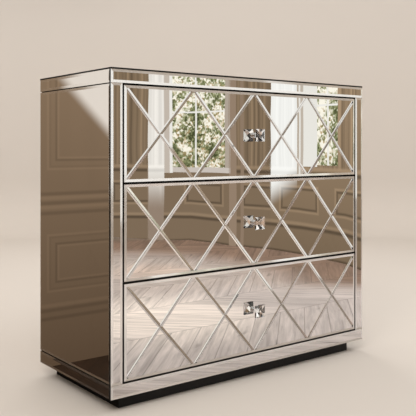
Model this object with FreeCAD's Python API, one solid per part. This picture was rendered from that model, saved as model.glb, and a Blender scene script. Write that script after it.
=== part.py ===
"""Mirrored chest of three drawers on a recessed plinth.

A painted board carcass with a face frame is clad in bevelled mirror glass: a top sheet, edge strips, stiles and
sides. Each drawer front carries a mirror cut with a lattice of V grooves and a square crystal knob, and its box
runs on a pair of ball-bearing runners. Millimetres, +Z up, +X to the right seen from the front, front towards -Y.
The origin is the middle of the bounding box, on the floor.
"""
import FreeCAD
import Part

import os

Vector = FreeCAD.Vector

# Outside sizes
overall_width = 900.0
body_depth = 390.0
plinth_height = 35.0
front_height = 235.0        # one drawer front
front_gap = 4.0             # shadow gap round each drawer front
strip_height = 32.0         # mirror strips of the frame: top, bottom and stiles

# Mirror glass
glass = 5.0                 # thickness of the strips, sides and drawer mirrors
top_glass = 5.0
bevel_width = 6.5
bevel_drop = 1.0
groove_width = 10.0
groove_depth = 1.7
lattice_cells = 4           # crosses side by side in one drawer front
side_seam = 3.0             # painted seam above and below a side mirror
strip_seam = 0.4            # seam between the stiles and the top and bottom strips

# Boards
board = 15.0                # carcass, frame and drawer fronts
back_board = 6.0
divider_depth = 45.0
divider_clearance = 2.0     # behind the drawer fronts
plinth_inset_front = 30.0
plinth_inset_side = 38.0
plinth_inset_back = 25.0

# Screws that hold the back board
back_screw_radius = 1.75
back_screw_head_radius = 3.6
back_screw_head = 2.2
back_screw_length = 28.0
back_screws_per_side = 4
screw_hole_clearance = 0.1

# Drawer boxes
box_board = 12.0
box_height = 185.0
box_depth = 345.0
box_lift = 14.0             # box above the lower edge of its front
base_sheet = 4.0
base_lift = 10.0            # base sheet above the lower edge of the box
base_groove_depth = 6.0
base_end_clearance = 0.5    # between the base sheet's edge and the bottom of its groove
base_play = 0.2             # groove wider than the base sheet

# Ball-bearing runners, one pair for each drawer
runner_space = 12.7         # between the packer and the drawer side
runner_length = 350.0
runner_height = 35.0
runner_sheet = 1.2
runner_lift = 62.0          # runner's centre line above the lower edge of the box
outer_flange = 11.0
inner_height = 22.0
inner_flange = 9.5
drawer_travel = 260.0
packer_height = 45.0
cage_sheet = 0.8
cage_clearance = 0.5        # between the ball cage's web and the outer member's web
cage_flange = 8.2
ball_clearance = 0.1
ball_hole_clearance = 0.1
balls_per_row = 5

# Knobs
knob_screw_radius = 2.0
knob_screw_head_radius = 4.4
knob_screw_head = 2.6
knob_hole_clearance = 0.5
thread_clearance = 0.05
knob_thread_depth = 5.0
knob_foot_radius = 7.0
knob_foot = 1.4
knob_neck_radius = 4.4
knob_neck = 2.4
knob_taper = 1.6            # length of each cone between the foot, neck and cup
knob_cup = 1.2
knob_cup_radius = 7.4
crystal_seat_width = 10.0
crystal_width = 34.0
crystal_step_width = 28.0
crystal_table_width = 20.0
crystal_pavilion = 14.6     # length of the tapered back
crystal_girdle = 3.0
crystal_step = 1.6
crystal_crown = 1.7

drawer_names = ("bottom", "middle", "top")

# Places that follow from the sizes above
drawers = len(drawer_names)
knob_metal_length = knob_foot + knob_neck + 2 * knob_taper + knob_cup
crystal_length = crystal_pavilion + crystal_girdle + crystal_step + crystal_crown
knob_projection = knob_metal_length + crystal_length

front_y = -(body_depth + knob_projection) / 2 + knob_projection
back_y = front_y + body_depth
frame_front_y = front_y + glass
frame_back_y = frame_front_y + board
back_board_y = back_y - back_board

half_width = overall_width / 2
carcass_half = half_width - glass
side_inner = carcass_half - board
opening_half = half_width - strip_height
front_half = opening_half - front_gap

body_z = plinth_height
opening_z = body_z + strip_height
pitch = front_height + front_gap
opening_top_z = opening_z + drawers * pitch + front_gap
carcass_top_z = opening_top_z + strip_height
overall_height = carcass_top_z + top_glass

box_half = opening_half - runner_space
runner_y = frame_back_y
outer_web_face = opening_half - runner_sheet
cage_web_x = outer_web_face - cage_clearance
race_low = inner_height / 2
race_high = runner_height / 2 - runner_sheet
race_middle = (race_low + race_high) / 2
ball_radius = (race_high - race_low) / 2 - ball_clearance
ball_x = (box_half + runner_sheet + outer_web_face) / 2
cage_length = runner_length - drawer_travel


def block(x_range, y_range, z_range):
    """A rectangular solid between three pairs of limits, each in either order."""
    lows = [min(r) for r in (x_range, y_range, z_range)]
    sizes = [abs(r[1] - r[0]) for r in (x_range, y_range, z_range)]
    return Part.makeBox(*sizes, Vector(*lows))


def stacked(rings):
    """A solid with flat faces through a stack of four-cornered rings."""
    faces = [Part.Face(Part.makePolygon(ring + ring[:1])) for ring in (rings[0], rings[-1])]
    for lower, upper in zip(rings, rings[1:]):
        for i in range(4):
            j = (i + 1) % 4
            faces.append(Part.Face(Part.makePolygon([lower[i], lower[j], upper[j], upper[i], lower[i]])))
    solid = Part.Solid(Part.Shell(faces))
    if solid.Volume < 0:
        solid.reverse()
    return solid


def ring(u_range, v_range, inset, place):
    """Four corners of a rectangle drawn in by inset; place turns (u, v) into a point."""
    u0, u1 = u_range[0] + inset, u_range[1] - inset
    v0, v1 = v_range[0] + inset, v_range[1] - inset
    return [place(u0, v0), place(u1, v0), place(u1, v1), place(u0, v1)]


def bevelled(u_range, v_range, back, face, axis):
    """A sheet of glass from back to face along axis ("x", "y" or "z"), bevelled round its face."""
    towards = 1 if face > back else -1
    edge = face - towards * bevel_drop

    def at(level):
        if axis == "x":
            return lambda u, v: Vector(level, u, v)
        if axis == "y":
            return lambda u, v: Vector(u, level, v)
        return lambda u, v: Vector(u, v, level)

    return stacked([
        ring(u_range, v_range, 0, at(back)),
        ring(u_range, v_range, 0, at(edge)),
        ring(u_range, v_range, bevel_width, at(face)),
    ])


def cylinder_y(radius, y_range, x, z):
    """A round bar along Y."""
    low, high = min(y_range), max(y_range)
    return Part.makeCylinder(radius, high - low, Vector(x, low, z), Vector(0, 1, 0))


def save(name, *solids):
    """Writes one node; a group keeps its solids separate."""
    shape = solids[0] if len(solids) == 1 else Part.makeCompound(list(solids))
    shape.exportStep(os.path.join("parts", name + ".step"))


def both_sides(solid):
    """A solid and its mirror image in the middle plane."""
    return [solid, solid.mirror(Vector(0, 0, 0), Vector(1, 0, 0))]


def back_screw_places():
    """(x, z) of each screw: up both sides, and along the top and base boards."""
    side_x = carcass_half - board / 2
    low = body_z + board + packer_height / 2
    high = carcass_top_z - board - packer_height / 2
    places = []
    for i in range(back_screws_per_side):
        z = low + (high - low) * i / (back_screws_per_side - 1)
        places += [(-side_x, z), (side_x, z)]
    for z in (body_z + board / 2, carcass_top_z - board / 2):
        places += [(-side_inner / 2, z), (side_inner / 2, z)]
    return places


def back_screw(x, z, clearance=0.0):
    """A countersunk screw whose head is flush with the back board; with a clearance, the hole for it."""
    shank = cylinder_y(back_screw_radius + clearance, (back_y - back_screw_length - clearance, back_y), x, z)
    head = Part.makeCone(
        back_screw_head_radius + clearance, back_screw_radius + clearance, back_screw_head,
        Vector(x, back_y, z), Vector(0, -1, 0))
    return shank.fuse(head).removeSplitter()


def without_screw_holes(solid):
    """The solid with the back board's screw holes cut in it."""
    for x, z in back_screw_places():
        solid = solid.cut(back_screw(x, z, screw_hole_clearance))
    return solid


def make_carcass():
    """Boards of the carcass, its face frame and the back."""
    depth = (frame_back_y, back_board_y)
    sides = block((side_inner, carcass_half), depth, (body_z, carcass_top_z - board))
    for name, solid in zip(("right", "left"), both_sides(sides)):
        save("side_panel_" + name, without_screw_holes(solid))
    top = block((-carcass_half, carcass_half), depth, (carcass_top_z - board, carcass_top_z))
    save("top_board", without_screw_holes(top))
    base = block((-side_inner, side_inner), depth, (body_z, body_z + board))
    save("base_board", without_screw_holes(base))
    back = block((-carcass_half, carcass_half), (back_board_y, back_y), (body_z, carcass_top_z))
    save("back_panel", without_screw_holes(back))
    save("back_panel_screws", *[back_screw(x, z) for x, z in back_screw_places()])

    frame = (frame_front_y, frame_back_y)
    stile = block((opening_half, carcass_half), frame, (opening_z, opening_top_z))
    for name, solid in zip(("right", "left"), both_sides(stile)):
        save("face_stile_" + name, solid)
    wide = (-carcass_half, carcass_half)
    save("face_rail_top", block(wide, frame, (opening_top_z, carcass_top_z)))
    save("face_rail_bottom", block(wide, frame, (body_z, opening_z)))

    divider_y = frame_back_y + divider_clearance
    dividers = []
    for i in range(1, drawers):
        middle = opening_z + i * pitch + front_gap / 2
        dividers.append(block((-side_inner, side_inner), (divider_y, divider_y + divider_depth),
                              (middle - board / 2, middle + board / 2)))
    save("divider_rails", *dividers)


def make_plinth():
    """Four boards of the recessed plinth."""
    front, back = front_y + plinth_inset_front, back_y - plinth_inset_back
    half = half_width - plinth_inset_side
    height = (0, plinth_height)
    save("plinth_front", block((-half, half), (front, front + board), height))
    save("plinth_back", block((-half, half), (back - board, back), height))
    end = block((half - board, half), (front + board, back - board), height)
    save("plinth_ends", *both_sides(end))


def make_cladding():
    """Mirror glass on the outside of the carcass."""
    wide = (-half_width, half_width)
    deep = (front_y, back_y)
    behind_front = (frame_front_y, back_y)
    top_strip = (opening_top_z, carcass_top_z)
    base_strip = (body_z, opening_z)
    between = (opening_z + strip_seam, opening_top_z - strip_seam)
    side_height = (opening_z + side_seam, opening_top_z - side_seam)

    save("top_mirror", bevelled(wide, deep, carcass_top_z, overall_height, "z"))
    save("top_strip_front", bevelled(wide, top_strip, frame_front_y, front_y, "y"))
    save("base_strip_front", bevelled(wide, base_strip, frame_front_y, front_y, "y"))
    for name, way in (("left", -1), ("right", 1)):
        stile = sorted((way * opening_half, way * half_width))
        save("stile_mirror_" + name, bevelled(stile, between, frame_front_y, front_y, "y"))
        inside, outside = way * carcass_half, way * half_width
        save("side_mirror_" + name, bevelled(behind_front, side_height, inside, outside, "x"))
        save("top_strip_" + name, bevelled(behind_front, top_strip, inside, outside, "x"))
        save("base_strip_" + name, bevelled(behind_front, base_strip, inside, outside, "x"))


def groove_cutter(start, end, face_y):
    """A bar of triangular section that cuts a V groove into a glass face, from start to end as (x, z)."""
    along = Vector(end[0] - start[0], 0, end[1] - start[1])
    length = along.Length
    along.normalize()
    across = Vector(-along.z, 0, along.x)
    out = Vector(0, -1, 0)
    scale = 2.0             # the section runs on past the face, so that no sliver is left
    half = across * (groove_width / 2 * scale)
    bottom = Vector(start[0], face_y + groove_depth, start[1]) - along * groove_width
    lift = out * (groove_depth * scale)
    section = Part.makePolygon([bottom, bottom + lift + half, bottom + lift - half, bottom])
    return Part.Face(section).extrude(along * (length + 2 * groove_width))


def drawer_mirror(front_z):
    """The drawer's mirror: V grooves cross from corner to corner of each cell and stop at the bevel."""
    low, high = front_z, front_z + front_height
    plate = bevelled((-front_half, front_half), (low, high), frame_front_y, front_y, "y")
    flat_half = front_half - bevel_width
    flat = block((-flat_half, flat_half), (frame_front_y, front_y - glass), (low + bevel_width, high - bevel_width))
    cell = 2 * front_half / lattice_cells
    grooves = []
    for i in range(lattice_cells):
        left = -front_half + i * cell
        grooves.append(groove_cutter((left, low), (left + cell, high), front_y))
        grooves.append(groove_cutter((left, high), (left + cell, low), front_y))
    for groove in grooves:
        plate = plate.cut(groove.common(flat))
    return plate


def knob_base(centre_z):
    """The turned metal base of the knob, with a blind thread for its screw."""
    profile = [(0, 0), (knob_foot_radius, 0), (knob_foot_radius, knob_foot)]
    at = knob_foot + knob_taper
    profile += [(knob_neck_radius, at), (knob_neck_radius, at + knob_neck)]
    at += knob_neck + knob_taper
    profile += [(knob_cup_radius, at), (knob_cup_radius, at + knob_cup), (0, at + knob_cup)]
    points = [Vector(r, front_y - out, centre_z) for r, out in profile]
    face = Part.Face(Part.makePolygon(points + points[:1]))
    turned = face.revolve(Vector(0, front_y, centre_z), Vector(0, 1, 0), 360)
    bore = cylinder_y(knob_screw_radius + thread_clearance,
                      (front_y, front_y - knob_thread_depth), 0, centre_z)
    return turned.cut(bore)


def knob_crystal(centre_z):
    """The square cut crystal: a tapered back, a girdle and a stepped crown."""
    out = knob_metal_length
    sections = [(crystal_seat_width, out)]
    for width, length in ((crystal_width, crystal_pavilion), (crystal_width, crystal_girdle),
                          (crystal_step_width, crystal_step), (crystal_table_width, crystal_crown)):
        out += length
        sections.append((width, out))
    rings = []
    for width, distance in sections:
        half = width / 2
        rings.append([Vector(x, front_y - distance, centre_z + z)
                      for x, z in ((-half, -half), (half, -half), (half, half), (-half, half))])
    return stacked(rings)


def knob_screw(centre_z):
    """The screw from inside the drawer into the knob's base."""
    shank = cylinder_y(knob_screw_radius,
                       (frame_back_y, front_y - knob_thread_depth + knob_hole_clearance), 0, centre_z)
    head = cylinder_y(knob_screw_head_radius, (frame_back_y, frame_back_y + knob_screw_head), 0, centre_z)
    return shank.fuse(head).removeSplitter()


def make_knob(name, centre_z):
    """Base, crystal and screw of one knob."""
    save(name + "_knob_base", knob_base(centre_z))
    save(name + "_knob_crystal", knob_crystal(centre_z))
    save(name + "_knob_screw", knob_screw(centre_z))


def make_drawer(name, front_z):
    """Front, box and knob of one drawer."""
    centre_z = front_z + front_height / 2
    screw_hole = cylinder_y(knob_screw_radius + knob_hole_clearance, (front_y, frame_back_y), 0, centre_z)
    save(name + "_drawer_mirror", drawer_mirror(front_z).cut(screw_hole))

    box_z = front_z + box_lift
    box_back_y = frame_back_y + box_depth
    inner_half = box_half - box_board
    base_z = box_z + base_lift
    reach = base_groove_depth - base_end_clearance
    base_groove = block(
        (-inner_half - base_groove_depth, inner_half + base_groove_depth),
        (frame_back_y - base_groove_depth, box_back_y - box_board + base_groove_depth),
        (base_z, base_z + base_sheet + base_play))
    front = block((-front_half, front_half), (frame_front_y, frame_back_y), (front_z, front_z + front_height))
    save(name + "_drawer_front", front.cut(screw_hole).cut(base_groove))

    box_heights = (box_z, box_z + box_height)
    side = block((inner_half, box_half), (frame_back_y, box_back_y), box_heights).cut(base_groove)
    for way, solid in zip(("right", "left"), both_sides(side)):
        save(name + "_drawer_side_" + way, solid)
    back = block((-inner_half, inner_half), (box_back_y - box_board, box_back_y), box_heights)
    save(name + "_drawer_back", back.cut(base_groove))
    save(name + "_drawer_base", block(
        (-inner_half - reach, inner_half + reach),
        (frame_back_y - reach, box_back_y - box_board + reach),
        (base_z, base_z + base_sheet)))
    make_knob(name, centre_z)


def outer_runner(z):
    """The runner member on the right-hand packer: a channel open towards the drawer."""
    ends = (runner_y, runner_y + runner_length)
    channel = block((opening_half - outer_flange, opening_half), ends,
                    (z - runner_height / 2, z + runner_height / 2))
    hollow = block((opening_half - outer_flange, outer_web_face), ends, (z - race_high, z + race_high))
    return channel.cut(hollow)


def inner_runner(z):
    """The runner member on the right-hand drawer side: a smaller channel open towards the packer."""
    ends = (runner_y, runner_y + runner_length)
    channel = block((box_half, box_half + inner_flange), ends, (z - race_low, z + race_low))
    hollow = block((box_half + runner_sheet, box_half + inner_flange), ends,
                   (z - race_low + runner_sheet, z + race_low - runner_sheet))
    return channel.cut(hollow)


def ball_cage(z):
    """The cage between the two members, and its balls."""
    start = runner_y + drawer_travel / 2
    ends = (start, start + cage_length)
    half = race_middle + cage_sheet / 2
    cage = block((cage_web_x - cage_flange, cage_web_x), ends, (z - half, z + half))
    cage = cage.cut(block((cage_web_x - cage_flange, cage_web_x - cage_sheet), ends,
                          (z - half + cage_sheet, z + half - cage_sheet)))
    balls = []
    for i in range(balls_per_row):
        y = start + cage_length * (i + 0.5) / balls_per_row
        hole = Part.makeCylinder(ball_radius + ball_hole_clearance, 2 * half,
                                 Vector(ball_x, y, z - half), Vector(0, 0, 1))
        cage = cage.cut(hole)
        for level in (z - race_middle, z + race_middle):
            balls.append(Part.makeSphere(ball_radius, Vector(ball_x, y, level)))
    return [cage] + balls


def make_runners():
    """Packers and runners of every drawer."""
    packers, outers = [], []
    for i, name in enumerate(drawer_names):
        z = opening_z + front_gap + i * pitch + box_lift + runner_lift
        packer = block((opening_half, side_inner), (runner_y, runner_y + runner_length),
                       (z - packer_height / 2, z + packer_height / 2))
        packers += both_sides(packer)
        outers += both_sides(outer_runner(z))
        save(name + "_inner_runners", *both_sides(inner_runner(z)))
        save(name + "_ball_cages", *[s for piece in ball_cage(z) for s in both_sides(piece)])
    save("runner_packers", *packers)
    save("outer_runners", *outers)


def main():
    os.makedirs("parts", exist_ok=True)
    make_carcass()
    make_plinth()
    make_cladding()
    for i, name in enumerate(drawer_names):
        make_drawer(name, opening_z + front_gap + i * pitch)
    make_runners()


main()
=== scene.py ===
import math

import bmesh
import bpy
from mathutils import Matrix, Vector


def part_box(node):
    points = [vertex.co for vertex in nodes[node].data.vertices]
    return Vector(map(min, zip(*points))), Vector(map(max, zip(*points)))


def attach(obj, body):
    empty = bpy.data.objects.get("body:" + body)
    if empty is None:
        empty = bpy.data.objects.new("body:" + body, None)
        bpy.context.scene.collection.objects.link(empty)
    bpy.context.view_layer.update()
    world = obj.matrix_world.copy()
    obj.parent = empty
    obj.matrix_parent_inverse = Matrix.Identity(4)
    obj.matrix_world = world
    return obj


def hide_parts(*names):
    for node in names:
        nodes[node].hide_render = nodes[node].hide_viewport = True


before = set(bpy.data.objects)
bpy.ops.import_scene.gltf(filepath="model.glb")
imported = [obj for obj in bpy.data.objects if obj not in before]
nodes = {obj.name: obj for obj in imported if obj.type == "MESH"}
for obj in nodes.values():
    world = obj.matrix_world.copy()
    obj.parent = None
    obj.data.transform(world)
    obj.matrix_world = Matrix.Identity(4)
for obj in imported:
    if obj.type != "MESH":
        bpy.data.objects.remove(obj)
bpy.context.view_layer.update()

drawerNames = ("bottom", "middle", "top")
mm = 0.001
weld = 0.00001                      # corners nearer than this are one
quarterTurn = math.radians(90)
fullTurn = math.radians(360)


# node trees: each helper adds to the tree that is being built, and a node's outputs can be used in sums

building = {}


class term:
    def __init__(self, socket):
        self.socket = socket

    __add__ = __radd__ = lambda self, other: calc("ADD", self, other)
    __mul__ = __rmul__ = lambda self, other: calc("MULTIPLY", self, other)
    __sub__ = lambda self, other: calc("SUBTRACT", self, other)
    __rsub__ = lambda self, other: calc("SUBTRACT", other, self)
    __truediv__ = lambda self, other: calc("DIVIDE", self, other)
    __neg__ = lambda self: calc("MULTIPLY", self, -1.0)
    __abs__ = lambda self: calc("ABSOLUTE", self)


def feed(value, socket):
    # links a term, or a list of them, and sets anything else as a plain value
    for part in value if isinstance(value, list) else [value]:
        if isinstance(part, term):
            building["tree"].links.new(part.socket, socket)
        else:
            socket.default_value = part


def addNode(kind, inputs=None, **settings):
    # gives the node's outputs, by name and by number
    node = building["tree"].nodes.new(kind)
    for name, value in settings.items():
        setattr(node, name, value)
    for key, value in (inputs or {}).items():
        feed(value, node.inputs[key])
    outputs = {}
    for number, socket in enumerate(node.outputs):
        outputs[number] = outputs[socket.name] = term(socket)
    return outputs


def newTree(name, kind, inputs, outputs):
    # a socket is told by its kind, or by the value that it starts with
    tree = bpy.data.node_groups.new(name, kind)
    kinds = {float: "Float", int: "Int", tuple: "Vector"}
    for inOut, sockets in (("INPUT", inputs), ("OUTPUT", outputs)):
        for label, value in sockets.items():
            socketType = "NodeSocket" + (value if isinstance(value, str) else kinds[type(value)])
            socket = tree.interface.new_socket(name=label, in_out=inOut, socket_type=socketType)
            if not isinstance(value, str):
                socket.default_value = value
    building["tree"] = tree
    return addNode("NodeGroupInput")


def endTree(outputs):
    addNode("NodeGroupOutput", outputs)
    return building["tree"]


def shaderGroup(name, inputs, outputs):
    return newTree(name, "ShaderNodeTree", inputs, outputs)


def shapeTree(name, inputs):
    return newTree(name, "GeometryNodeTree", {"Geometry": "Geometry", **inputs}, {"Geometry": "Geometry"})


def calc(operation, *values):
    return addNode("ShaderNodeMath", dict(enumerate(values)), operation=operation)[0]


def vectorCalc(operation, *values):
    outputs = addNode("ShaderNodeVectorMath", dict(enumerate(values)), operation=operation)
    return outputs["Value" if operation in ("DOT_PRODUCT", "LENGTH") else "Vector"]


def scaled(vector, factor):
    return addNode("ShaderNodeVectorMath", {0: vector, "Scale": factor}, operation="SCALE")["Vector"]


def combined(x, y, z):
    return addNode("ShaderNodeCombineXYZ", {"X": x, "Y": y, "Z": z})["Vector"]


def separated(vector):
    return addNode("ShaderNodeSeparateXYZ", {"Vector": vector})


def ranged(value, low, high, toLow=0.0, toHigh=1.0, smooth=False):
    inputs = {"Value": value, "From Min": low, "From Max": high, "To Min": toLow, "To Max": toHigh}
    kind = "SMOOTHSTEP" if smooth else "LINEAR"
    return addNode("ShaderNodeMapRange", inputs, interpolation_type=kind)["Result"]


def noise(vector, scale, detail=3.0, roughness=0.5, distortion=0.0):
    inputs = {"Vector": vector, "Scale": scale, "Detail": detail, "Roughness": roughness}
    return addNode("ShaderNodeTexNoise", {**inputs, "Distortion": distortion})["Fac"]


def stretched(vector, scale):
    return addNode("ShaderNodeMapping", {"Vector": vector, "Scale": scale})["Vector"]


def mixColour(factor, first, second, blend="MIX"):
    return addNode("ShaderNodeMix", {0: factor, 6: first, 7: second}, data_type="RGBA", blend_type=blend)[2]


def rgb(*values):
    return (*values, 1.0)


# shader groups that several finishes share

surfaceOutputs = {"Color": "Color", "Roughness": "Float", "Height": "Float"}
bevelFacing = (0.998, 0.992)        # how squarely a bevel, and a groove, faces along the sheet's axis
grooveFacing = (0.98, 0.96)


def makeHandMarks():
    # thin film of wiping marks and fingerprints on polished faces
    given = shaderGroup("handMarks", {
        "Vector": "Vector", "Scale": 6.0, "Amount": 0.03, "Clean": 0.012},
        {"Mask": "Float", "Roughness": "Float"})
    wiped = scaled(stretched(given["Vector"], (1.0, 1.0, 0.35)), given["Scale"])
    broad = noise(wiped, 1.0, 4.0, 0.55, 0.6)
    fine = noise(scaled(given["Vector"], given["Scale"]), 9.0, 2.0, 0.6)
    mask = ranged(broad, 0.48, 0.78, smooth=True) * ranged(fine, 0.35, 0.7)
    return endTree({"Mask": mask, "Roughness": mask * given["Amount"] + given["Clean"]})


def makeSilveredSheet():
    # tells the silvered face, and its bevels and grooves, from the sheet's cut edges; the silver
    # lies behind the glass, so a bevel or groove turns what it shows the other way
    given = shaderGroup("silveredSheet", {
        "Normal": "Vector", "Axis": (0.0, 1.0, 0.0), "Turn": 1.2, "Groove Share": 0.7},
        {"Face": "Float", "Slope": "Float", "Groove": "Float", "Normal": "Vector"})
    along = vectorCalc("DOT_PRODUCT", given["Normal"], given["Axis"])
    facing = abs(along)
    face = ranged(facing, 0.6, 0.7)
    flat = scaled(given["Axis"], calc("SIGN", along))
    lean = vectorCalc("SUBTRACT", given["Normal"], scaled(flat, facing))
    share = ranged(facing, *grooveFacing, 1.0, given["Groove Share"])
    turned = vectorCalc("SUBTRACT", flat, scaled(lean, given["Turn"] * share / facing))
    seen = mixColour(face, given["Normal"], turned)
    world = addNode("ShaderNodeVectorTransform", {"Vector": seen}, vector_type="NORMAL",
                    convert_from="OBJECT", convert_to="WORLD")["Vector"]
    return endTree({
        "Face": face, "Slope": face * ranged(facing, *bevelFacing),
        "Groove": face * ranged(facing, *grooveFacing), "Normal": vectorCalc("NORMALIZE", world)})


def makeDust():
    # dust that settles on faces that look up
    given = shaderGroup("dust", {"Vector": "Vector", "Normal": "Vector", "Amount": 0.3}, {"Mask": "Float"})
    specks = noise(given["Vector"], 240.0, 2.0, 0.7)
    drift = noise(given["Vector"], 14.0, 4.0, 0.6)
    grains = ranged(specks, 0.35, 0.75) * ranged(drift, 0.3, 0.75)
    lying = ranged(separated(given["Normal"])["Z"], 0.3, 0.95, 0.12, 1.0)
    return endTree({"Mask": grains * lying * given["Amount"]})


def makeEdgeWear():
    # rubbed corners, from how far a rounded normal leaves the true one
    given = shaderGroup("edgeWear", {"Vector": "Vector", "Amount": 0.5}, {"Mask": "Float"})
    rounded = addNode("ShaderNodeBevel", {"Radius": 0.0016}, samples=4)["Normal"]
    true = addNode("ShaderNodeNewGeometry")["True Normal"]
    turned = ranged(vectorCalc("DOT_PRODUCT", rounded, true), 0.995, 0.86)
    patchy = ranged(noise(given["Vector"], 38.0, 4.0, 0.65), 0.42, 0.68)
    return endTree({"Mask": turned * patchy * given["Amount"]})


def makeWoodGrain():
    # the grain runs along X of the given vector
    given = shaderGroup("woodGrain", {
        "Vector": "Vector", "Light": "Color", "Dark": "Color", "Figure": 7.0, "Pores": 260.0}, surfaceOutputs)
    warp = noise(scaled(given["Vector"], 3.0), 1.0, 2.0)
    slow = scaled(stretched(given["Vector"], (0.9, 11.0, 11.0)), warp * 0.3 + 0.9)
    rings = noise(slow, given["Figure"], 5.0, 0.55, 0.9)
    streaks = noise(stretched(given["Vector"], (0.035, 1.0, 1.0)), given["Pores"], 3.0, 0.6)
    bands = ranged(rings, 0.38, 0.66, smooth=True)
    dashes = ranged(streaks, 0.5, 0.72)
    tone = mixColour(bands, given["Light"], given["Dark"])
    return endTree({
        "Color": mixColour(dashes * 0.35, tone, given["Dark"], "MULTIPLY"),
        "Roughness": dashes * 0.12 + (bands * 0.06 + 0.42), "Height": bands * 0.3 - dashes * 0.7})


def makePaintFilm():
    # sprayed paint: slight orange peel, uneven sheen and light scuffs
    given = shaderGroup("paintFilm", {
        "Vector": "Vector", "Colour": "Color", "Scuffed": "Color", "Sheen Low": 0.4, "Sheen High": 0.6},
        surfaceOutputs)
    cloud = noise(given["Vector"], 9.0, 4.0, 0.6)
    peel = noise(given["Vector"], 420.0, 2.0, 0.5)
    lines = noise(stretched(given["Vector"], (7.0, 60.0, 130.0)), 1.0, 3.0, 0.7, 1.4)
    scuff = ranged(lines, 0.66, 0.74) * ranged(cloud, 0.45, 0.7)
    sheen = ranged(scuff * 0.5 + cloud, 0.3, 0.9, given["Sheen Low"], given["Sheen High"])
    colour = mixColour(scuff * 0.5 + cloud * 0.16, given["Colour"], given["Scuffed"])
    return endTree({"Color": colour, "Roughness": sheen, "Height": peel - scuff * 0.8})


def makeSheetMetal():
    # rolled or turned metal: drawn lines and a patchy dull bloom
    given = shaderGroup("sheetMetal", {
        "Vector": "Vector", "Bright": "Color", "Dull": "Color", "Bloom Scale": 60.0, "Polish": 0.2,
        "Spread": 0.2}, surfaceOutputs)
    bloom = ranged(noise(given["Vector"], given["Bloom Scale"], 5.0, 0.65), 0.35, 0.7)
    drawn = noise(stretched(given["Vector"], (900.0, 12.0, 900.0)), 1.0, 2.0, 0.5)
    roughness = (bloom * 0.7 + drawn * 0.3) * given["Spread"] + given["Polish"]
    return endTree({
        "Color": mixColour(bloom, given["Bright"], given["Dull"]), "Roughness": roughness, "Height": drawn})


handMarks = makeHandMarks()
silveredSheet = makeSilveredSheet()
dust = makeDust()
edgeWear = makeEdgeWear()
woodGrain = makeWoodGrain()
paintFilm = makePaintFilm()
sheetMetal = makeSheetMetal()
print("shader groups ready")


# finishes

def newMaterial(name):
    material = bpy.data.materials.new(name)
    material.use_nodes = True
    building["tree"] = material.node_tree
    return material, addNode("ShaderNodeTexCoord")


def finishWith(material, inputs):
    shader = material.node_tree.nodes["Principled BSDF"]
    for label, value in inputs.items():
        feed(value, shader.inputs[label])
    return material


def useGroup(group, inputs, place=None):
    # place gives a group the piece's own coordinates
    vector = {"Vector": place["Object"]} if place else {}
    return addNode("ShaderNodeGroup", {**vector, **inputs}, node_tree=group)


def dustOn(place, amount):
    return useGroup(dust, {"Normal": place["Normal"], "Amount": amount}, place)["Mask"]


def bump(height, strength, distance, **more):
    inputs = {"Height": height, "Strength": strength, "Distance": distance, **more}
    return addNode("ShaderNodeBump", inputs)["Normal"]


def behind(place, plane, distances, smooth=False):
    # from 0 to 1 between two distances behind a plane across Y
    return ranged(separated(place["Object"])["Y"], *(plane + off for off in distances), smooth=smooth)


mirrorFinish = {
    "silver": rgb(0.86, 0.85, 0.83),
    "film": rgb(0.74, 0.71, 0.66),
    "edge": rgb(0.004, 0.0045, 0.004),
    "polish": 0.008,
    "marks": 0.05,
    "markScale": 5.0,
    "dust": 0.1,
    "slopePolish": 0.06,
    "edgePolish": 0.5,
    "sealWidth": (0.004, 0.0042),               # where the sealed front edge of a sheet ends
    "wave": 0.00012,
    "bevelFrost": 0.35,                         # share of a bevel, and of a groove, that scatters light
    "sideBevelFrost": 0.03,
    "grooveFrost": 0.1,
    "silverTurn": 1.2,                          # how far a slope turns the picture, against its own tilt
    # painted shade: a dark line along the bottom of each groove
    "grooveShade": rgb(0.3, 0.28, 0.25),
    "grooveShadeDepth": (0.0013, 0.0016),        # how deep in a groove the painted shade line starts and is full
    "grooveShadePolish": 0.1,
}


def mirrorMaterial(name, axis, grooveFace=None, seam=None):
    # grooveFace is the y of the face that is grooved, seam the y where a sheet's front edge is sealed
    finish = mirrorFinish
    material, place = newMaterial(name)
    sheet = useGroup(silveredSheet, {"Normal": place["Normal"], "Axis": axis, "Turn": finish["silverTurn"]})
    marks = useGroup(handMarks, {
        "Scale": finish["markScale"], "Amount": finish["marks"], "Clean": finish["polish"]}, place)
    veil = marks["Mask"] * 0.3 + dustOn(place, finish["dust"])
    silver = mixColour(veil, finish["silver"], finish["film"])
    polished = sheet["Slope"] * finish["slopePolish"] + marks["Roughness"]
    silvered = sheet["Face"]
    bevelFrost = finish["bevelFrost"]
    if grooveFace is not None:
        # painted shade along the bottoms of the grooves
        line = behind(place, grooveFace, finish["grooveShadeDepth"], smooth=True)
        silver = mixColour(line, silver, finish["grooveShade"])
        polished = line * finish["grooveShadePolish"] + polished
    if seam is not None:
        silvered = silvered * behind(place, seam, finish["sealWidth"])
        bevelFrost = finish["sideBevelFrost"]
    frost = sheet["Slope"] * ranged(sheet["Groove"], 0.0, 1.0, bevelFrost, finish["grooveFrost"])
    wave = noise(place["Object"], 7.0, 1.0)
    return finishWith(material, {
        "Base Color": mixColour(silvered, finish["edge"], silver),
        "Metallic": (1.0 - frost) * silvered,
        "Roughness": ranged(silvered, 0.0, 1.0, finish["edgePolish"], polished),
        "Normal": bump(wave, 1.0, finish["wave"], Normal=sheet["Normal"]),
        "Coat Weight": silvered, "Coat IOR": 1.5, "Coat Roughness": 0.01, "Specular IOR Level": 0.15})


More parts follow.
